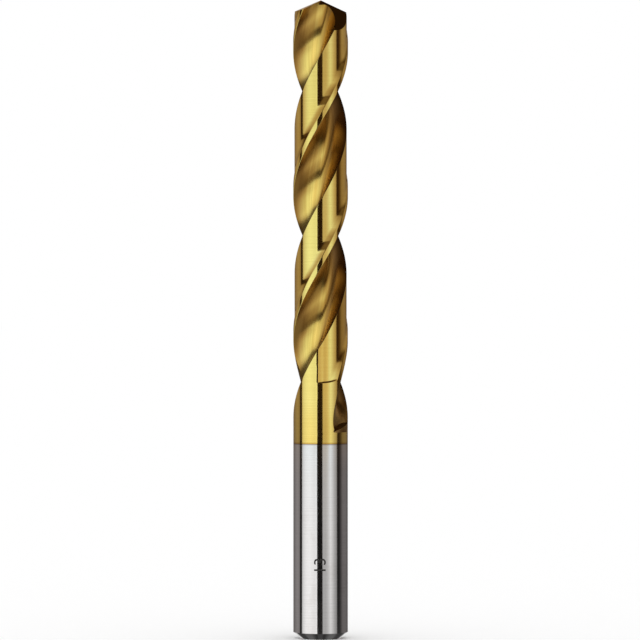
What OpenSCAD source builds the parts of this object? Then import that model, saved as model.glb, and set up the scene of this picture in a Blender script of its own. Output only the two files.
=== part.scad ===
// Twist drill bit for metal, jobber length, with a straight shank and a split point.
// It is one piece of high-speed steel, ground all over. The flat end of the shank
// stands on z = 0, the axis of the drill is Z, and the point is up.
// Lengths are in millimetres, angles in degrees, and azimuths run from +X towards +Y.

/* [Body] */
// Cutting diameter, over the margins
drill_d = 13; // [12:0.5:14]
// Overall length, from the shank end to the chisel edge
overall_l = 151; // [150:1:160]
// Helix angle of the flutes at the cutting diameter
helix_angle = 30.85; // [28:0.05:34]
// Height at which one leading edge faces the front
front_z = 121.6; // [110:0.1:130]

/* [Flutes] */
// Length of the flutes from the point, run-out included
flute_l = 102.2; // [95:0.1:104]
// Part of the circle that each flute opens
flute_span = 93.4; // [88:0.2:97]
// Web thickness at the point
web_tip = 2; // [1.6:0.1:2.6]
// Web thickness where the flutes start to run out
web_root = 3.4; // [2.6:0.1:4]
// Length over which each flute runs out to the surface
runout_l = 20.2; // [16:0.2:24]
// Depth of the round groove that each flute ends in
end_depth = 1.6; // [1:0.1:2.2]
// Radius of the wall at the end of that groove
end_r = 3; // [2:0.1:4]

/* [Margins] */
// Width of each margin round the circle
margin_w = 1.35; // [0.8:0.05:2]
// Width of the hollow fillet from a margin down to the cleared land
step_w = 1.85; // [1:0.05:2.4]
// Depth to which the land is cleared behind its margin
clear_depth = 0.3; // [0.2:0.01:0.5]
// Length of the cleared land from the point
clear_l = 90.35; // [86:0.05:92]

/* [Point] */
// Full point angle
point_angle = 135; // [125:1:140]
// Angle at which each flank falls away behind its lip
lip_relief = 9; // [6:1:14]
// Direction that the gashed heel faces, counted from its lip
gash_turn = 82; // [70:1:95]
// Angle of the gashed heel above the horizontal
gash_rise = 39; // [30:1:45]
// Distance from the axis to the gashed heel at the chisel edge
gash_gap = 0.1; // [0.05:0.05:0.7]
// Turn of the thinned inner lip from the main lip
thin_turn = 29; // [20:1:40]
// Distance from the axis to the thinned inner lip
thin_gap = 0.15; // [0.1:0.05:0.4]

/* [Shank] */
// Shank diameter
shank_d = 12.9; // [12:0.1:13]
// Length of the shank that is left bare, below the golden coating
bare_l = 46.1; // [40:0.1:46.5]
// Width of the end chamfer across the end face
end_chamfer_w = 1.85; // [0.5:0.05:2.5]
// Height of the end chamfer along the shank
end_chamfer_h = 1.5; // [0.5:0.05:2.5]

/* [Hidden] */
coating = "goldenrod";
steel = "silver";
shank_r = shank_d / 2;
tip_r = drill_d / 2;
lead = PI * drill_d / tan(helix_angle);
lip_fall = 1 / tan(point_angle / 2);
relief_fall = tan(lip_relief);
runout_z = overall_l - flute_l;
clear_z = overall_l - clear_l;
// The fluted body reaches a little way down inside the bare shank, just under its surface
seat_l = 1;
seat_gap = 0.01;
// Points on one half of a section: cleared land, fillet, margin, flute face and heel side
land_n = 8;
step_n = 3;
margin_n = 2;
face_n = 9;
heel_n = 9;
// Heights between which the sections are evenly spaced, and how many there are in between
ring_spans = [
    [bare_l - seat_l, 3],
    [runout_z - 0.2, 8],
    [runout_z + 2.6, 7],
    [clear_z - 0.35, 6],
    [clear_z + 0.95, 64],
    [overall_l + 1, 0]];
// How steeply the flute shrinks as it runs out, and the length and the start of its last groove
lift_curve = 1.85;
end_l = 7.2;
end_fade = 5;
// The wall at the flute's end climbs round the bar from this azimuth
end_az = 46.2;
end_slope = 0.0385;
// The clearance ends in a shallow step across the land, lowest at clear_low of its width,
// and on the heel side at a straight crease along the bar
clear_fade = 0.4;
clear_rise = 1.3;
clear_low = 0.3;
crease_turn = -45.9;
crease_slope = 0.2;
big = 40;

function polar(r, az) = [r * cos(az), r * sin(az)];
function azimuth(p) = atan2(p[1], p[0]);
function mix(a, b, t) = a + (b - a) * t;
function unit(t) = max(0, min(1, t));
function smooth(t) = let(u = unit(t)) u * u * (3 - 2 * u);
function bezier(a, b, c, d, t) =
    a * pow(1 - t, 3) + 3 * b * t * pow(1 - t, 2) + 3 * c * t * t * (1 - t) + d * pow(t, 3);

// Azimuth of the leading edge at a height: a right-hand helix
function edge_azimuth(z) = 270 + (z - front_z) * 360 / lead;
// Radius over the margins, with the slight back taper from the point to the shank
function margin_r(z) = mix(shank_r - seat_gap, tip_r, unit((z - runout_z) / flute_l));
function clear_r(z, across) =
    let(rise = z - clear_z - clear_rise * pow(across - clear_low, 2))
    margin_r(z) - clear_depth * smooth(rise / clear_fade + 0.5);
function crease_azimuth(z) = crease_turn + edge_azimuth(clear_z) - edge_azimuth(z);
// Radius of the land, which is the full bar below the crease
function land_r(z, az, across) =
    let(slope = crease_slope * margin_r(z) * (az - crease_azimuth(z)) * PI / 180)
    max(clear_r(z, across), margin_r(z) - max(0, slope));
// Half of the web, which thickens from the point to the run-out
function web_r(z) = mix(web_root, web_tip, unit((z - runout_z - runout_l) / (flute_l - runout_l))) / 2;
// Size of the flute's section, which shrinks towards the heel edge as the wheel lifts out
function lift(z) = max(0.06, 1 - pow(max(0, runout_z + runout_l - z) / runout_l, lift_curve));

// One flute in the frame of its leading edge. From t = 0 to 1 it is the face that a straight
// lip sweeps along the helix, down to the web, and from 1 to 2 the hollow heel side.
function face_azimuth(r, web) =
    asin(min(1, web / r)) - asin(web / tip_r) - max(0, tip_r - r) * lip_fall * 360 / lead;
function face(t, web, size) =
    let(r = web + ((tip_r + 1) / size - web) * pow(1 - t, 1.6))
    polar(r, face_azimuth(r, web));
function heel(t, web) =
    let(web_az = face_azimuth(web, web),
        edge = polar(tip_r, flute_span))
    bezier(polar(web, web_az),
           polar(web, web_az) + polar(2.1, web_az + 90),
           edge + polar(2.6, flute_span + 157),
           edge, t);
function flute(t, z) =
    let(size = lift(z),
        edge = polar(tip_r, flute_span))
    edge + ((t < 1 ? face(t, web_r(z), size) : heel(t - 1, web_r(z))) - edge) * size;
// Where the flute leaves a circle, found by halving the span between a point in and a point out
function rim(inner, outer, r, z, n = 14) =
    let(mid = (inner + outer) / 2)
    n == 0 ? mid
    : norm(flute(mid, z)) < r ? rim(mid, outer, r, z, n - 1)
    : rim(inner, mid, r, z, n - 1);
// Where the heel side meets the land, whose radius depends on that place
function heel_rim(z, r, n = 2) =
    let(t = max(1.2, rim(1, 2, r, z)))
    n == 0 ? t : heel_rim(z, land_r(z, azimuth(flute(t, z)) - 180, 0), n - 1);

// A point inside the flute. Towards its end the flute becomes a plain groove with a round
// bottom, and it ends at the wall that the rounded corner of the wheel leaves.
function hollow(t, u, z, lead_az, heel_az) =
    let(r = margin_r(z),
        p = flute(t, z),
        end = smooth((runout_z + end_l - z) / end_fade),
        az = mix(azimuth(p), mix(lead_az, heel_az, u), end),
        turn = az + edge_azimuth(z) - edge_azimuth(runout_z) - end_az,
        over = max(0, z - runout_z - turn * end_slope),
        wall = r - sqrt(end_r * end_r - pow(max(0, end_r - over), 2)),
        groove = r - end_depth * sqrt(4 * u * (1 - u)),
        inside = min(r, mix(norm(p), groove, end)))
    polar(z < runout_z + end_l ? max(wall, inside) : inside, az);

// Half of a section, from its heel over the land and the margin and down into the flute
function half_section(z) =
    let(r = margin_r(z),
        t_face = min(0.8, rim(1, 0, r, z)),
        t_heel = heel_rim(z, clear_r(z, 0)),
        lead_az = azimuth(flute(t_face, z)),
        heel_az = azimuth(flute(t_heel, z)) - 180,
        margin = lead_az - margin_w / r * 180 / PI,
        low = margin - step_w / r * 180 / PI,
        crease = max(mix(heel_az, low, 0.3), min(mix(heel_az, low, 0.8), crease_azimuth(z))),
        half = land_n / 2,
        n = face_n + heel_n)
    concat(
        [for (i = [0 : land_n - 1])
            let(az = i < half ? mix(heel_az, crease, i / half) : mix(crease, low, i / half - 1))
            polar(land_r(z, az, max(0, (az - crease) / (margin - crease))), az)],
        [for (i = [0 : step_n - 1])
            let(u = i / step_n,
                az = mix(low, margin, u))
            polar(mix(land_r(z, az, (az - crease) / (margin - crease)), r, u * u), az)],
        [for (i = [0 : margin_n]) polar(r, mix(margin, lead_az, i / margin_n))],
        [for (i = [1 : n])
            let(t = i > face_n ? mix(1, t_heel, (i - face_n) / (heel_n + 1)) : mix(t_face, 1, i / face_n))
            hollow(t, i / (n + 1), z, lead_az, heel_az + 180)]);
function turned(p, az, z) =
    [p[0] * cos(az) - p[1] * sin(az), p[0] * sin(az) + p[1] * cos(az), z];
function section(z) =
    [for (side = [0, 180], p = half_section(z)) turned(p, edge_azimuth(z) + side, z)];

// Closed solid through a stack of sections that all have the same number of points
module loft(sections) {
    n = len(sections[0]);
    top = (len(sections) - 1) * n;
    polyhedron(
        points = [for (s = sections) each s],
        faces = concat(
            [[for (j = [0 : n - 1]) j]],
            [for (i = [0 : len(sections) - 2], j = [0 : n - 1], half = [0, 1])
                let(a = i * n + j, b = i * n + (j + 1) % n)
                half == 0 ? [a, a + n, b + n] : [a, b + n, b]],
            [[for (j = [n - 1 : -1 : 0]) top + j]]));
}

module fluted_body() {
    last = len(ring_spans) - 1;
    heights = concat(
        [for (k = [0 : last - 1], i = [0 : ring_spans[k][1] - 1])
            mix(ring_spans[k][0], ring_spans[k + 1][0], i / ring_spans[k][1])],
        [ring_spans[last][0]]);
    color(coating)
    loft([for (z = heights) section(z)]);
}

module bare_shank() {
    color(steel)
    rotate_extrude($fn = 96)
    polygon([
        [0, 0],
        [shank_r - end_chamfer_w, 0],
        [shank_r, end_chamfer_h],
        [shank_r, bare_l],
        [0, bare_l]]);
}

// All that lies past a plane near the tip, which faces an azimuth and a rise
module beyond(az, rise, gap) {
    translate([0, 0, overall_l])
    rotate([0, -rise, az])
    translate([gap, -big / 2, -big / 2])
    cube(big);
}

// One half of the point: the flank behind its lip, and the gash that splits the web beside it
module point_grind() {
    lip_az = edge_azimuth(overall_l - tip_r * lip_fall) - asin(web_tip / drill_d);
    color(coating)
    beyond(lip_az - atan(relief_fall / lip_fall), atan(1 / norm([lip_fall, relief_fall])), 0);
    color(coating)
    intersection() {
        beyond(lip_az + gash_turn, gash_rise, gash_gap);
        beyond(lip_az + 90 + thin_turn, 0, thin_gap);
    }
}

module twist_drill_bit() {
    difference() {
        union() {
            bare_shank();
            fluted_body();
        }
        for (side = [0, 180])
            rotate(side)
            point_grind();
    }
}

twist_drill_bit();
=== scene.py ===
import math

import bmesh
import bpy
from mathutils import Matrix, Vector


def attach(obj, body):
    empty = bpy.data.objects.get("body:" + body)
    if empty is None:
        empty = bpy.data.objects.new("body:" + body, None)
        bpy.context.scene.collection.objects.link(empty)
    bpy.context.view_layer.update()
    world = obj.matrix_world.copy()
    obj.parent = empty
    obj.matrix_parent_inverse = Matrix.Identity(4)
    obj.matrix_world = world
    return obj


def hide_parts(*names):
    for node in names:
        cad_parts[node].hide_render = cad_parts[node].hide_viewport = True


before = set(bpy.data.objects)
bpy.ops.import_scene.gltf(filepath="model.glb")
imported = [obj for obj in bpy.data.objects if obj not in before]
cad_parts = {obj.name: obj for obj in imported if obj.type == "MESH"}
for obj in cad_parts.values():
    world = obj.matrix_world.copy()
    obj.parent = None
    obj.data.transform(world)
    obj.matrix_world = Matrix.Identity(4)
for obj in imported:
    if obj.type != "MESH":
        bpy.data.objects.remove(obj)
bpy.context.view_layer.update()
MM = 0.001

# The fluted body. The real one is a round bar of high-speed steel: wheels grind the two
# flutes, the cleared lands and the narrow margins along a right-hand helix, and the
# flutes run out where the wheel lifts off the bar.
DRILL_R = 6.5
SHANK_R = 6.45
OVERALL = 151.0
HELIX = 30.85
LEAD = math.pi * (2 * DRILL_R) / math.tan(math.radians(HELIX))
FRONT_Z = 121.6  # one leading edge faces the front here
BARE_L = 46.1  # the coat begins here

FLUTE_L = 102.2  # from the point, run-out included
FLUTE_SPAN = 93.4  # the part of the circle that a flute opens
WEB_TIP = 1.0  # half of the web's thickness
WEB_ROOT = 1.7
EDGE_ROUND = 0.1
HEEL_ROUND = 0.17
LIP_FALL = 1 / math.tan(math.radians(135 / 2))
FACE_CROWD = 1.6  # gathers the face's columns near the web
HOLLOW_HANDLE = 2.1  # the curve's handles beside the web and at the heel
HEEL_HANDLE = 2.6
HEEL_TURN = 157

RUNOUT_L = 20.2
RUNOUT_Z = OVERALL - FLUTE_L
LIFT_CURVE = 1.85
LEAST_LIFT = 0.06
END_AZ = 46.2  # the wall at the flute's end: its place, its slope round the bar and its radius
END_SLOPE = 0.0385
END_R = 3.0
END_DEPTH = 1.6
END_L = 7.2
END_FADE = 5.0

MARGIN_W = 1.35
STEP_W = 1.85
CLEAR_DEPTH = 0.3
CLEAR_L = 90.35
CLEAR_Z = OVERALL - CLEAR_L
CLEAR_FADE = 0.4
CLEAR_RISE = 1.3  # the cleared land's end sags across the land, lowest at CLEAR_LOW
CLEAR_LOW = 0.3
CREASE_AZ = -45.9
CREASE_SLOPE = 0.2
CREASE_RANGE = (0.3, 0.8)  # of the land's width

LAND_N, STEP_N, MARGIN_N, ROUND_N, FACE_N, HEEL_N = 30, 14, 8, 6, 32, 32
COLUMNS = 2 * (LAND_N + STEP_N + MARGIN_N + FACE_N + HEEL_N + 2 * ROUND_N)
FLUTE_COLUMNS = range(LAND_N + STEP_N + MARGIN_N + ROUND_N, COLUMNS // 2)
TOP_Z = OVERALL + 1.0
# Share of the plain cylinder's height, and the height that it moves to.
RINGS = ((0, BARE_L), (0.02, 48.6), (0.15, 51.4), (0.25, 60.1), (0.33, 61.7), (1, TOP_Z))


def polar(r, az):
    return Vector((r * math.cos(math.radians(az)), r * math.sin(math.radians(az))))


def azimuth(p):
    return math.degrees(math.atan2(p.y, p.x))


def mix(a, b, t):
    return a + (b - a) * t


def between(value, stops):
    """The value of a chain of straight lines, given as pairs."""
    for (a, first), (b, last) in zip(stops, stops[1:]):
        if value <= b:
            return mix(first, last, (value - a) / (b - a))
    return stops[-1][1]


def smooth(t):
    u = max(0.0, min(1.0, t))
    return u * u * (3 - 2 * u)


def edge_azimuth(z):
    return 270 + (z - FRONT_Z) * 360 / LEAD


def margin_r(z):
    return mix(SHANK_R, DRILL_R, max(0.0, min(1.0, (z - RUNOUT_Z) / FLUTE_L)))


def clear_r(z, across=0.0):
    rise = z - CLEAR_Z - CLEAR_RISE * (across - CLEAR_LOW) ** 2
    return margin_r(z) - CLEAR_DEPTH * smooth(rise / CLEAR_FADE + 0.5)


def crease_azimuth(z):
    return CREASE_AZ + edge_azimuth(CLEAR_Z) - edge_azimuth(z)


def land_r(z, az, across):
    """The radius of the land; below the crease that the clearing wheel leaves, it is the full bar."""
    slope = CREASE_SLOPE * margin_r(z) * math.radians(az - crease_azimuth(z))
    return max(clear_r(z, across), margin_r(z) - max(0.0, slope))


def web_r(z):
    t = (z - RUNOUT_Z - RUNOUT_L) / (FLUTE_L - RUNOUT_L)
    return mix(WEB_ROOT, WEB_TIP, max(0.0, min(1.0, t)))


def lift(z):
    """How far the wheel has lifted: 1 is the whole flute, and it shrinks towards its heel edge."""
    rise = max(0.0, RUNOUT_Z + RUNOUT_L - z) / RUNOUT_L
    return max(LEAST_LIFT, 1 - rise ** LIFT_CURVE)


def face_azimuth(r, web):
    swept = max(0.0, DRILL_R - r) * LIP_FALL * 360 / LEAD
    return math.degrees(math.asin(min(1.0, web / r)) - math.asin(web / DRILL_R)) - swept


def flute(t, z):
    """The flute's section: t is 0 past the leading edge, 1 at the web and 2 at the heel."""
    web = web_r(z)
    size = lift(z)
    heel = polar(DRILL_R, FLUTE_SPAN)
    if t < 1:
        r = web + ((DRILL_R + 1) / size - web) * (1 - t) ** FACE_CROWD
        p = polar(r, face_azimuth(r, web))
    else:
        a = polar(web, face_azimuth(web, web))
        b = a + polar(HOLLOW_HANDLE, face_azimuth(web, web) + 90)
        c = heel + polar(HEEL_HANDLE, FLUTE_SPAN + HEEL_TURN)
        u = t - 1
        p = a * (1 - u) ** 3 + 3 * b * u * (1 - u) ** 2 + 3 * c * u * u * (1 - u) + heel * u ** 3
    return heel + (p - heel) * size


def rim(inner, outer, r, z):
    """Where the flute's section crosses the radius r, found by halving."""
    for _ in range(16):
        mid = (inner + outer) / 2
        if flute(mid, z).length < r:
            inner = mid
        else:
            outer = mid
    return (inner + outer) / 2


def hollow(t, u, z, lead_az, heel_az):
    """A point inside the flute. Towards its end the flute becomes a plain groove with a round
    bottom, and it ends at the wall that the rounded corner of the wheel leaves."""
    r = margin_r(z)
    p = flute(t, z)
    end = smooth((RUNOUT_Z + END_L - z) / END_FADE)
    az = mix(azimuth(p), mix(lead_az, heel_az, u), end)
    turn = az + edge_azimuth(z) - edge_azimuth(RUNOUT_Z) - END_AZ
    over = max(0.0, z - RUNOUT_Z - turn * END_SLOPE)
    wall = r - math.sqrt(END_R ** 2 - max(0.0, END_R - over) ** 2) if z < RUNOUT_Z + END_L else 0.0
    groove = r - END_DEPTH * math.sqrt(4 * u * (1 - u))
    return polar(max(wall, min(r, mix(p.length, groove, end))), az)


def rounded(a, corner, b):
    """The start of a small rounding from a to b."""
    u = [i / ROUND_N for i in range(ROUND_N)]
    return [a * (1 - t) ** 2 + corner * 2 * t * (1 - t) + b * t * t for t in u]


def half_section(z):
    """One land, its margin and the flute after it, with the leading edge at azimuth 0."""
    face_most, heel_least, step = 0.8, 1.2, 0.05
    r = margin_r(z)
    t_face = min(face_most, rim(1, 0, r, z))
    heel_r = clear_r(z)
    for _ in range(3):
        t_heel = max(heel_least, rim(1, 2, heel_r, z))
        heel = flute(t_heel, z)
        heel_az = azimuth(heel) - 180
        heel_r = land_r(z, heel_az, 0.0)
    edge = flute(t_face, z)
    lead_az = azimuth(edge)
    mouth = (edge - heel).length
    lead_w, heel_w = (min(w, mouth / 20) for w in (EDGE_ROUND, HEEL_ROUND))
    face_t = t_face + step * lead_w / (flute(t_face + step, z) - flute(t_face, z)).length
    back_t = t_heel - step * heel_w / (flute(t_heel, z) - flute(t_heel - step, z)).length

    margin_end = lead_az - math.degrees(lead_w / r)
    margin = lead_az - math.degrees(MARGIN_W / r)
    land_end = margin - math.degrees(STEP_W / r)
    land_start = heel_az + math.degrees(heel_w / r)
    low, high = (mix(land_start, land_end, share) for share in CREASE_RANGE)
    crease = max(low, min(high, crease_azimuth(z)))
    half = LAND_N // 2
    points = []
    for i in range(LAND_N):
        if i < half:
            az = mix(land_start, crease, i / half)
        else:
            az = mix(crease, land_end, (i - half) / (LAND_N - half))
        points.append(polar(land_r(z, az, max(0.0, (az - crease) / (margin - crease))), az))
    for i in range(STEP_N):
        u = i / STEP_N
        az = mix(land_end, margin, u)
        points.append(polar(mix(land_r(z, az, (az - crease) / (margin - crease)), r, u ** 2), az))
    points += [polar(r, mix(margin, margin_end, i / MARGIN_N)) for i in range(MARGIN_N)]
    spots = [mix(face_t, 1, i / FACE_N) for i in range(FACE_N)]
    spots += [mix(1, back_t, i / HEEL_N) for i in range(HEEL_N + 1)]
    inside = [hollow(t, (i + 1) / (len(spots) + 1), z, lead_az, heel_az + 180)
              for i, t in enumerate(spots)]
    points += rounded(polar(r, margin_end), edge, inside[0])
    points += inside[:-1]
    points += rounded(inside[-1], heel, polar(land_r(z, land_start, 0.0), land_start + 180))
    return points


def section(z):
    half = half_section(z)
    turns = [Matrix.Rotation(math.radians(edge_azimuth(z) + side), 2) for side in (0, 180)]
    return [turn @ p for turn in turns for p in half]


def column(p):
    """The column of the plain cylinder at a point, counted round from +X."""
    return math.atan2(p.y, p.x) / (2 * math.pi) % 1 * COLUMNS


def ring_z(p):
    """The height that a point of the plain cylinder moves to, in millimetres."""
    return between((p.z / MM - BARE_L) / (TOP_Z - BARE_L), RINGS)


def edit(obj):
    bpy.ops.object.select_all(action="DESELECT")
    bpy.context.view_layer.objects.active = obj
    obj.select_set(True)
    bpy.ops.object.mode_set(mode="EDIT")
    bpy.ops.mesh.select_all(action="DESELECT")
    return bmesh.from_edit_mesh(obj.data)


bpy.ops.object.select_all(action="DESELECT")
bpy.ops.mesh.primitive_cylinder_add(
    vertices=COLUMNS, radius=SHANK_R * MM, depth=(TOP_Z - BARE_L) * MM,
    end_fill_type="NGON", location=(0, 0, (TOP_Z + BARE_L) / 2 * MM))
drill = bpy.context.object
drill.name = "drill_body"
bpy.ops.object.transform_apply(location=True)

for cuts in (100, 2):
    shape = edit(drill)
    for edge in shape.edges:
        a, b = edge.verts
        edge.select = abs(a.co.z - b.co.z) > 0.1 * MM
    bpy.ops.mesh.subdivide(number_cuts=cuts)
    bpy.ops.object.mode_set(mode="OBJECT")

for face in drill.data.polygons:
    if len(face.vertices) == 4:
        in_flute = int(column(face.center)) % (COLUMNS // 2) in FLUTE_COLUMNS
        face.material_index = 1 if in_flute and ring_z(face.center) > RUNOUT_Z else 0
rings = {}
for v in drill.data.vertices:
    z = round(ring_z(v.co), 4)
    if z not in rings:
        rings[z] = section(z)
    v.co = Vector((*rings[z][round(column(v.co)) % COLUMNS], z)) * MM


def linear(colour):
    parts = [int(colour[i:i + 2], 16) / 255 for i in (1, 3, 5)]
    return tuple(c / 12.92 if c <= 0.04045 else ((c + 0.055) / 1.055) ** 2.4 for c in parts) + (1,)


def material(name):
    m = bpy.data.materials.new(name)
    m.use_nodes = True
    m.node_tree.nodes.clear()
    return m, m.node_tree


def node(tree, kind, settings=(), **links):
    """Adds a node. A setting is a socket's value, a ramp's stops or an attribute, and sockets go
    by their identifiers."""
    n = tree.nodes.new(kind)
    sockets = {s.identifier: s for s in n.inputs}
    for name, value in dict(settings).items():
        if name == "stops":
            elements = n.color_ramp.elements
            elements[1].position = value[-1][0]
            elements[0].position = value[0][0]
            for at, _ in value[1:-1]:
                elements.new(at)
            for element, (_, colour) in zip(elements, value):
                element.color = linear(colour)
        elif name in sockets:
            sockets[name].default_value = value
        else:
            setattr(n, name, value)
    for name, socket in links.items():
        tree.links.new(socket, sockets[name])
    return n


def grain(tree, coords, scale, detail=3.0, roughness=0.55):
    """Noise whose scale along each axis is given in features per metre."""
    mapped = node(tree, "ShaderNodeMapping", {"Scale": scale}, Vector=coords)
    return node(tree, "ShaderNodeTexNoise", {"Scale": 1.0, "Detail": detail, "Roughness": roughness},
                Vector=mapped.outputs["Vector"]).outputs["Fac"]


def metal(tree, colour, roughness, lines, depth, **normal):
    """Metal with its lines from the wheel as a bump, so many metres deep."""
    bump = node(tree, "ShaderNodeBump", {"Strength": 1.0, "Distance": depth}, Height=lines, **normal)
    bsdf = node(tree, "ShaderNodeBsdfPrincipled", {"Metallic": 1.0}, Roughness=roughness,
                Normal=bump.outputs["Normal"], **{"Base Color": colour})
    node(tree, "ShaderNodeOutputMaterial", Surface=bsdf.outputs["BSDF"])


TINT = {"data_type": "RGBA", "blend_type": "MULTIPLY"}
FULL_TINT = {**TINT, "Factor_Float": 1.0}
NOISE = {"From Min": 0.3, "From Max": 0.7}

# Lands and margins: cylindrically ground, then coated with titanium nitride by vapour in a
# vacuum. To the eye it is a golden mirror with lines of about 0.2 mm round the bar. Its tone
# wanders over a centimetre or two, and it darkens in the last half millimetre above the line
# where the holder covered the shank.
SOOT_H = 0.5
land, tree = material("ground_gold_coat")
coords = node(tree, "ShaderNodeTexCoord").outputs["Object"]
height = node(tree, "ShaderNodeSeparateXYZ", Vector=coords).outputs["Z"]
lines = grain(tree, coords, (25, 25, 5000))
drift = grain(tree, coords, (90, 90, 60), 2.0)
tone = node(tree, "ShaderNodeValToRGB", {"stops": ((0.3, "#EFD071"), (0.7, "#F6DD84"))}, Fac=drift)
shade = node(tree, "ShaderNodeValToRGB", {"stops": ((0.3, "#F4F1EC"), (0.6, "#FFFFFF"))}, Fac=lines)
tone = node(tree, "ShaderNodeMix", FULL_TINT, A_Color=tone.outputs["Color"],
            B_Color=shade.outputs["Color"])
soot = node(tree, "ShaderNodeMapRange", {"From Min": BARE_L * MM, "From Max": (BARE_L + SOOT_H) * MM,
                                         "To Min": 0.75, "To Max": 0.0}, Value=height)
tone = node(tree, "ShaderNodeMix", {**TINT, "B_Color": linear("#B08A55")}, A_Color=tone.outputs[2],
            Factor_Float=soot.outputs["Result"])
rough = node(tree, "ShaderNodeMapRange", {**NOISE, "To Min": 0.08, "To Max": 0.12}, Value=lines)
metal(tree, tone.outputs[2], rough.outputs["Result"], lines, 4e-7)

# Flutes: the same coat over a coarser grind, so the gold is softer, with lines along the helix.
# They are drawn 0.7 mm wide, coarser than the real tenth of a millimetre, so that they show.
# The colour is painted shade across the flute: darker and more bronze near the cutting edge and
# nearly black along the rounded corner of the heel. Where the wheel lifted off it is duller, and
# the colour darkens towards the wall at the flute's end, which is painted shade too.
LIFT_LOW, LIFT_HIGH = 52, 60
WALL_SHADE_LOW, WALL_SHADE_HIGH = 49, 55
flute_coat, tree = material("coarse_ground_gold_coat")
uv = node(tree, "ShaderNodeUVMap", {"uv_map": "along_flute"}).outputs["UV"]
parts = node(tree, "ShaderNodeSeparateXYZ", Vector=uv)
along, across = parts.outputs["X"], parts.outputs["Y"]
streaks = grain(tree, uv, (25, 18, 1), 2.0)
fine = grain(tree, uv, (60, 90, 1), 2.0)
# Painted shade: the ramp darkens the flute towards the cutting edge and to nearly black at the heel.
tone = node(tree, "ShaderNodeValToRGB", {"stops": (
    (0.0, "#C4954A"), (0.1, "#DDB766"), (0.25, "#F0CF71"), (0.5, "#F0CE6F"), (0.62, "#EAC468"),
    (0.72, "#DEBE78"), (0.8, "#C8AC7A"), (0.9, "#987E58"), (0.96, "#6E5840"), (1.0, "#33271C"))},
    Fac=across)
shade = node(tree, "ShaderNodeValToRGB", {"stops": ((0.3, "#EBE4D8"), (0.65, "#FFFFFF"))}, Fac=streaks)
tone = node(tree, "ShaderNodeMix", FULL_TINT, A_Color=tone.outputs["Color"],
            B_Color=shade.outputs["Color"])
lifted = node(tree, "ShaderNodeMapRange", {"From Min": LIFT_LOW * MM, "From Max": LIFT_HIGH * MM,
                                           "To Min": 1.0, "To Max": 0.0}, Value=along)
# Painted shade: the colour darkens towards the wall at the flute's end.
wall = node(tree, "ShaderNodeMapRange", {"From Min": WALL_SHADE_LOW * MM, "From Max": WALL_SHADE_HIGH * MM},
            Value=along)
wall = node(tree, "ShaderNodeValToRGB", {"stops": ((0.0, "#9C7C4C"), (1.0, "#F2D48A"))},
            Fac=wall.outputs["Result"])
tone = node(tree, "ShaderNodeMix", {"data_type": "RGBA"}, Factor_Float=lifted.outputs["Result"],
            A_Color=tone.outputs[2], B_Color=wall.outputs["Color"])
rough = node(tree, "ShaderNodeMapRange", {**NOISE, "To Min": 0.2, "To Max": 0.26}, Value=fine)
rough = node(tree, "ShaderNodeMix", {"B_Float": 0.42}, Factor_Float=lifted.outputs["Result"],
             A_Float=rough.outputs["Result"])

# The photograph's reflections show the face a little less hooked than its edges place it, so
# its shading normal is turned by 7 degrees about the axis. The mesh keeps its shape.
FACE_TURN = -7
turn = node(tree, "ShaderNodeMapRange", {"From Min": 0.6, "From Max": 0.85,
                                         "To Min": math.radians(FACE_TURN), "To Max": 0.0}, Value=across)
faced = node(tree, "ShaderNodeVectorRotate", {"rotation_type": "Z_AXIS"},
             Vector=node(tree, "ShaderNodeNewGeometry").outputs["Normal"], Angle=turn.outputs["Result"])
metal(tree, tone.outputs[2], rough.outputs[0], streaks, 3e-6, Normal=faced.outputs["Vector"])
for finish in (land, flute_coat):
    drill.data.materials.append(finish)

# The shank: the same bar below the coat, bare, with a chamfered flat end.
CHAMFER_W = 1.85
CHAMFER_H = 1.5
shape = edit(drill)
bpy.ops.mesh.select_mode(type="FACE")
end = min(shape.faces, key=lambda face: face.calc_center_median().z)
end.select_set(True)
bpy.ops.mesh.extrude_region_move(TRANSFORM_OT_translate={"value": (0, 0, -(BARE_L - CHAMFER_H) * MM)})
bpy.ops.mesh.extrude_region_move(TRANSFORM_OT_translate={"value": (0, 0, -CHAMFER_H * MM)})
bpy.ops.transform.resize(value=(1 - CHAMFER_W / SHANK_R,) * 2 + (1,), center_override=(0, 0, 0))
bpy.ops.object.mode_set(mode="OBJECT")
for face in drill.data.polygons:
    if face.center.z < BARE_L * MM:
        face.material_index = 2

# High-speed steel, centreless ground to a bright satin: a grey mirror with lines of about
# 0.15 mm round it, faint marks from handling, and a straw tint next to the coat.
STRAW_H = 0.35
bare, tree = material("ground_tool_steel")
coords = node(tree, "ShaderNodeTexCoord").outputs["Object"]
height = node(tree, "ShaderNodeSeparateXYZ", Vector=coords).outputs["Z"]
lines = grain(tree, coords, (25, 25, 6500))
marks = grain(tree, coords, (160, 160, 110), 4.0, 0.65)
tone = node(tree, "ShaderNodeValToRGB", {"stops": ((0.3, "#D6D4D3"), (0.7, "#E3E1E0"))}, Fac=lines)
shade = node(tree, "ShaderNodeValToRGB", {"stops": ((0.25, "#F0EEEC"), (0.5, "#FFFFFF"))}, Fac=marks)
tone = node(tree, "ShaderNodeMix", FULL_TINT, A_Color=tone.outputs["Color"],
            B_Color=shade.outputs["Color"])
straw = node(tree, "ShaderNodeMapRange", {"From Min": (BARE_L - STRAW_H) * MM, "From Max": BARE_L * MM,
                                          "To Min": 0.0, "To Max": 0.8}, Value=height)
tone = node(tree, "ShaderNodeMix", {**TINT, "B_Color": linear("#8A745E")}, A_Color=tone.outputs[2],
            Factor_Float=straw.outputs["Result"])
rough = node(tree, "ShaderNodeMapRange", {**NOISE, "To Min": 0.07, "To Max": 0.11}, Value=marks)
metal(tree, tone.outputs[2], rough.outputs["Result"], lines, 4e-7)
drill.data.materials.append(bare)

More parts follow.
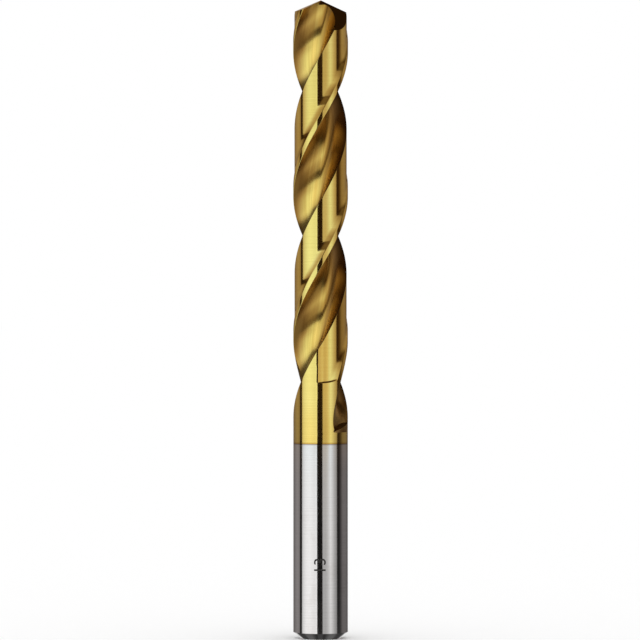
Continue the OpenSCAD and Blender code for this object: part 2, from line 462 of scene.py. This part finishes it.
# The point. Each flank is ground flat behind its lip, and a wheel then cuts the gash that
# thins the web and takes the corner off the heel.
RELIEF_FALL = math.tan(math.radians(9))
GASH_TURN = 82
GASH_RISE = 39
GASH_GAP = 0.1
THIN_TURN = 29
THIN_GAP = 0.15
WHEEL_W = 30
POINT_H = 9
LIP_AZ = edge_azimuth(OVERALL - DRILL_R * LIP_FALL) - math.degrees(math.asin(WEB_TIP / DRILL_R))

# The facets come from a fine wheel and are coated with the rest: flat golden mirrors, a little
# dulled by lines of about 0.2 mm.
point, tree = material("fine_ground_gold_coat")
coords = node(tree, "ShaderNodeTexCoord").outputs["Object"]
scratches = grain(tree, coords, (5500, 700, 700), 2.0)
tone = node(tree, "ShaderNodeValToRGB", {"stops": ((0.3, "#DDB65C"), (0.7, "#EBC86E"))}, Fac=scratches)
rough = node(tree, "ShaderNodeMapRange", {**NOISE, "To Min": 0.14, "To Max": 0.2}, Value=scratches)
metal(tree, tone.outputs["Color"], rough.outputs["Result"], scratches, 4e-7)
drill.data.materials.append(point)


def facing(az, rise):
    return Vector((*polar(math.cos(math.radians(rise)), az), math.sin(math.radians(rise))))


tip = Vector((0, 0, OVERALL * MM))
flank_turn = math.degrees(math.atan(RELIEF_FALL / LIP_FALL))
flank_rise = math.degrees(math.atan(1 / math.hypot(LIP_FALL, RELIEF_FALL)))
facets = []
for side in (0, 180):
    edit(drill)
    bpy.ops.mesh.select_all(action="SELECT")
    facets.append(facing(LIP_AZ - flank_turn + side, flank_rise))
    bpy.ops.mesh.bisect(plane_co=tip, plane_no=facets[-1], use_fill=True, clear_outer=True, threshold=1e-7)
    bpy.ops.object.mode_set(mode="OBJECT")

for side in (0, 180):
    bpy.ops.mesh.primitive_cube_add(size=WHEEL_W * MM, location=tip)
    wheel = bpy.context.object
    bpy.ops.object.transform_apply(location=True)
    for az, rise, gap in ((LIP_AZ + GASH_TURN + side, GASH_RISE, GASH_GAP),
                          (LIP_AZ + 90 + THIN_TURN + side, 0, THIN_GAP)):
        edit(wheel)
        bpy.ops.mesh.select_all(action="SELECT")
        facets.append(facing(az, rise))
        bpy.ops.mesh.bisect(plane_co=tip + facets[-1] * gap * MM, plane_no=facets[-1],
                            use_fill=True, clear_inner=True)
        bpy.ops.object.mode_set(mode="OBJECT")
    cut = drill.modifiers.new("gash", "BOOLEAN")
    cut.operation = "DIFFERENCE"
    cut.solver = "EXACT"
    cut.object = wheel
    bpy.context.view_layer.objects.active = drill
    bpy.ops.object.modifier_apply(modifier=cut.name)
    bpy.data.objects.remove(wheel)

bpy.ops.object.select_all(action="DESELECT")
drill.select_set(True)
bpy.context.view_layer.objects.active = drill
bpy.ops.object.shade_smooth_by_angle(angle=math.radians(30))
for face in drill.data.polygons:
    on_facet = max(abs(face.normal.dot(facet)) for facet in facets) > 0.99999
    if on_facet and face.center.z > (OVERALL - POINT_H) * MM:
        face.material_index = 3
        face.use_smooth = False

# The flutes' texture coordinates follow the helix, and are drawn once the mesh is whole: u is the
# height in metres, and v runs from 0 at the leading edge to 1 at the heel, as the turn round a
# point in the middle of the flute.
HOLLOW_MID = Vector((3.14, 3.36))
TURN_START = -45
TURN_SPAN = 176.5
TURN_PAST = 270  # a larger turn is a little before the leading edge
along_flute = drill.data.uv_layers.new(name="along_flute")
for loop in drill.data.loops:
    v = drill.data.vertices[loop.vertex_index].co / MM
    p = Matrix.Rotation(math.radians(-edge_azimuth(v.z)), 2) @ v.xy
    heel = polar(DRILL_R, FLUTE_SPAN)
    mid = heel + (HOLLOW_MID - heel) * lift(v.z)
    p = p if p.dot(HOLLOW_MID) > 0 else -p
    turn = (TURN_START - azimuth(p - mid)) % 360
    along_flute.data[loop.index].uv = (v.z * MM, min(1.0, turn / TURN_SPAN) if turn < TURN_PAST else 0.0)
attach(drill, "root")
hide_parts("twist_drill_bit")

# The size, 13 for 13 mm, is etched black into the shank in strokes about 0.25 mm wide, and reads
# upwards from the shank's end. It is a flat drawing, cut into strips and laid round the bar.
MARK_Z = 17.5
MARK_R = SHANK_R + 0.01
MARK_H = 4.0
STRIP_W = 0.2
STRIPS = 10  # on each side of the drawing's middle
bpy.ops.object.text_add()
size_mark = bpy.context.object
size_mark.name = "etched_size"
size_mark.data.body = "13"
size_mark.data.size = MARK_H * MM
size_mark.data.align_x = "CENTER"
size_mark.data.align_y = "CENTER"
bpy.ops.object.convert(target="MESH")
size_mark = bpy.context.object
edit(size_mark)
for strip in range(-STRIPS, STRIPS + 1):
    bpy.ops.mesh.select_all(action="SELECT")
    bpy.ops.mesh.bisect(plane_co=(0, strip * STRIP_W * MM, 0), plane_no=(0, 1, 0), threshold=1e-7)
bpy.ops.object.mode_set(mode="OBJECT")
for v in size_mark.data.vertices:
    turn = -v.co.y / (MARK_R * MM)
    height = MARK_Z * MM + v.co.x
    v.co = Vector((math.sin(turn), -math.cos(turn), 0)) * MARK_R * MM + Vector((0, 0, height))

# An oxide black, matt, and a little uneven where the acid bit less.
etch, tree = material("black_etch")
coords = node(tree, "ShaderNodeTexCoord").outputs["Object"]
bite = grain(tree, coords, (3000, 3000, 3000), 2.0)
tone = node(tree, "ShaderNodeValToRGB", {"stops": ((0.3, "#171514"), (0.7, "#2E2B29"))}, Fac=bite)
bsdf = node(tree, "ShaderNodeBsdfPrincipled", {"Roughness": 0.55}, **{"Base Color": tone.outputs["Color"]})
node(tree, "ShaderNodeOutputMaterial", Surface=bsdf.outputs["BSDF"])
size_mark.data.materials.append(etch)
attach(size_mark, "root")

# The studio. Polished metal shows what stands round it: tall soft boxes at both sides and
# behind, grey cards between them and black cloth in the gaps. One dome carries them all, and
# only reflections see it. A turn of 0 is the front and 90 the right, and a level of 1 is white.
DOME_R = 3  # metres
DOME_Z = 0.075
AROUND = (
    (-180, 0.8), (-165, 0.75), (-162, 0.14), (-147, 0.17), (-125, 0.255), (-116, 0.28), (-103, 0.24),
    (-99.5, 0.2), (-96.5, 0.012), (-86, 0.012), (-84, 0.65), (-80, 0.87), (-72, 1.0), (-62, 1.12),
    (-48, 1.18), (-32, 1.1), (-21, 1.03), (-18, 1.18), (-15.2, 1.16), (-13.8, 0.008), (8, 0.008),
    (9.2, 0.58), (21, 0.57), (30, 0.7), (39, 0.92), (43, 1.02), (52, 0.8), (62, 0.53), (72, 0.36),
    (75, 0.03), (81, 0.012), (86, 0.02), (91, 0.04), (97, 0.08), (102, 0.13), (108, 0.175),
    (120, 0.2), (133, 0.195), (146, 0.135), (164, 0.12), (167, 0.75), (180, 0.8))
LEFT_HEIGHT = (
    (-90, 0.03), (-60, 0.13), (-50, 0.34), (-40, 0.66), (-30, 0.9), (-20, 1.05), (-10, 1.06), (-5, 1),
    (1, 1), (4.5, 0.94), (8, 0.78), (14, 0.44), (20, 0.33), (26, 0.22), (33, 0.08), (40, 0.02),
    (50, 0.01), (90, 0.01))
RIGHT_HEIGHT = (
    (-90, 0.05), (-50, 0.12), (-42, 0.2), (-35, 0.36), (-25, 0.5), (-15, 0.6), (-8, 0.76), (-4, 1),
    (4, 1), (8, 0.7), (14, 0.6), (20, 0.38), (26, 0.22), (34, 0.16), (45, 0.08), (60, 0.05), (90, 0.02))
BACK_HEIGHT = (
    (-90, 0.05), (-30, 0.35), (-15, 0.45), (-9, 0.6), (-7, 1), (-1, 1), (3, 1.25), (8, 1.25),
    (14, 0.3), (25, 0.12), (45, 0.05), (90, 0.02))
# The least level at each rise, from the walls and the ceiling.
FILL = (
    (-90, 0.06), (-72, 0.06), (-64, 0.35), (-54, 0.35), (-48, 0.15), (-40, 0.12), (-30, 0.16),
    (-10, 0.14), (-6, 0.008), (6, 0.008), (10, 0.08), (22, 0.07), (32, 0.045), (45, 0.015),
    (60, 0.01), (90, 0.01))
# Small cards and gauzes: turn, rise, half width, half height, and what they multiply the level by.
CARDS = (
    (60, -41, 25, 12, 1.7), (-126, 20, 28, 10, 0.3), (-90, 19, 12, 9, 0.45), (125, -18, 25, 11, 0.4),
    (82, -22, 11, 12, 2.0), (63, 26, 20, 8, 1.4), (20, 44, 30, 10, 1.9), (-66, 42, 16, 9, 0.4),
    (-38, 37, 15, 8, 0.7), (-84, -32, 9, 12, 1.5), (-4, 18, 12, 9, 1.7), (105, 14, 14, 7, 2.0),
    (-80, 12, 14, 5, 0.75), (-80, 5, 18, 4, 0.68), (-18, -38, 16, 13, 0.35), (-32, -20, 9, 8, 0.75))
# How red and how blue a level is: as on the photograph's coat, dim is warm and bright is pale.
WARM = (
    (0.0, 1.1), (0.05, 1.13), (0.1, 1.17), (0.2, 1.1), (0.4, 1.045), (0.65, 1.01), (0.85, 1.0),
    (1.05, 0.97), (1.2, 0.95))
COOL = (
    (0.0, 0.55), (0.05, 0.55), (0.1, 0.6), (0.2, 0.72), (0.4, 0.82), (0.65, 0.93), (0.85, 1.12),
    (1.05, 1.25), (1.2, 1.35))
SIDES_END = 92
LEFT_END = -5  # left of this turn the heights are the left box's
LOW_RISE = -7
LOW_LEFT_END = 104  # below LOW_RISE the left box is wider
LOW_WIDER = 12
BACK_BOX = 160
LEVEL_BAND = 6  # the rises that the drill's upright walls show from the front
BACK_FILL = 0.4
BACK_DIM = 0.3  # the box behind is weaker in that band


def studio_level(turn, rise):
    """How bright the dome is in one direction."""
    left_end = LOW_LEFT_END if rise < LOW_RISE else SIDES_END
    if abs(turn) > BACK_BOX or -left_end <= turn < LEFT_END:
        height = LEFT_HEIGHT
    elif turn > SIDES_END or turn < -left_end:
        height = BACK_HEIGHT
    else:
        height = RIGHT_HEIGHT
    fill = between(rise, FILL)
    if abs(turn) > SIDES_END and abs(rise) > LEVEL_BAND:
        fill *= BACK_FILL
    wider = LOW_WIDER * smooth((-LEVEL_BAND - rise) / 8) if -BACK_BOX < turn < -50 else 0.0
    level = max(fill, between(turn + wider, AROUND) * between(rise, height))
    if abs(turn) > BACK_BOX:
        level *= mix(BACK_DIM, 1, smooth((abs(rise) - LEVEL_BAND) / 4))
    for at, up, wide, high, gain in CARDS:
        level *= 1 + (gain - 1) * math.exp(-((turn - at) / wide) ** 2 - ((rise - up) / high) ** 2)
    return level


STEEL_TOP = -2.2  # the bare shank shows the band from here down to STEEL_LOW, which is neutral
STEEL_LOW = -10
FLOOR_TOP = -50
BACK_RED = 1.07
CLOTH = 0.05  # black cloth is below this level, and a little brown
CLOTH_RED = 1.7
CLOTH_MORE = (0.008, 0.003)  # below and above the middle
WARM_EDGE = (8, 34)  # the near edge of the right box is warmer at the lands' height
WARM_EDGE_TOP = 1
WARM_EDGE_RED, WARM_EDGE_BLUE = 1.12, 0.8
BOX = 0.7  # a soft box is above this level
LOW_SHARE, LOW_BOX_SHARE = 0.6, 0.15  # of the tint, below, where the shank shows it from above


def studio_colour(turn, rise):
    """The level with its tint, as red, green and blue."""
    level = studio_level(turn, rise)
    behind = abs(turn) > SIDES_END
    if STEEL_LOW < rise < STEEL_TOP or rise < FLOOR_TOP or behind and rise < STEEL_TOP:
        return [level * (BACK_RED if behind and rise > STEEL_LOW else 1.0), level, level]
    red = mix(1.25, 0.87, smooth(level / 1.1))
    blue = 1.0
    if level < CLOTH:
        red = CLOTH_RED
        level += CLOTH_MORE[0] if rise < 0 else CLOTH_MORE[1]
    elif WARM_EDGE[0] < turn < WARM_EDGE[1] and STEEL_TOP < rise < WARM_EDGE_TOP:
        red *= WARM_EDGE_RED
        blue = WARM_EDGE_BLUE
    share = 1.0 if rise > STEEL_TOP else LOW_SHARE if level < BOX else LOW_BOX_SHARE
    if level > BOX:
        share *= mix(0.1, 1, smooth((abs(rise) - 4) / 6))
    red *= mix(1, between(level, WARM), share)
    blue *= mix(1, between(level, COOL), share)
    return [level * red, level, level * blue]


bpy.ops.mesh.primitive_uv_sphere_add(segments=360, ring_count=120, radius=DOME_R, location=(0, 0, DOME_Z))
dome = bpy.context.object
dome.name = "studio_dome"
glow = []
for v in dome.data.vertices:
    turn = (azimuth(v.co) + 90 + 180) % 360 - 180
    rise = math.degrees(math.asin(max(-1.0, min(1.0, v.co.z / DOME_R))))
    glow += studio_colour(turn, rise) + [1]
dome.data.attributes.new("glow", "FLOAT_COLOR", "POINT").data.foreach_set("color", glow)
cards, tree = material("studio_cards")
light = node(tree, "ShaderNodeAttribute", {"attribute_name": "glow"})
light = node(tree, "ShaderNodeEmission", Color=light.outputs["Color"])
node(tree, "ShaderNodeOutputMaterial", Surface=light.outputs["Emission"])
dome.data.materials.append(cards)
dome.visible_camera = False
dome.visible_diffuse = False
dome.visible_shadow = False

world = bpy.data.worlds.new("studio")
bpy.context.scene.world = world
world.use_nodes = True
world.node_tree.nodes["Background"].inputs["Color"].default_value = (1, 1, 1, 1)
world.node_tree.nodes["Background"].inputs["Strength"].default_value = 1.0

# The white table that the drill stands on. It takes the drill's shadow and isn't reflected.
bpy.ops.mesh.primitive_plane_add(size=60)
floor = bpy.context.object
floor.name = "floor"
paint, tree = material("white_floor")
bsdf = node(tree, "ShaderNodeBsdfDiffuse", {"Color": (1, 1, 1, 1)})
node(tree, "ShaderNodeOutputMaterial", Surface=bsdf.outputs["BSDF"])
floor.data.materials.append(paint)
floor.visible_glossy = False

# The camera, level with the middle of the drill as in the photograph.
DISTANCE = 0.876  # metres
SENSOR = 36
HALF_PICTURE = 320  # pixels of the photograph
PIXEL = 0.2368  # millimetres at the drill
camera_data = bpy.data.cameras.new("camera")
camera = bpy.data.objects.new("camera", camera_data)
bpy.context.scene.collection.objects.link(camera)
camera.location = (-0.00014, -DISTANCE, 0.07531)
camera.rotation_euler = (math.radians(90), 0, 0)
camera_data.sensor_width = SENSOR
camera_data.sensor_fit = "HORIZONTAL"
camera_data.lens = SENSOR / (2 * (HALF_PICTURE * PIXEL * MM) / DISTANCE)
bpy.context.scene.camera = camera
bpy.context.scene.view_settings.view_transform = "Standard"
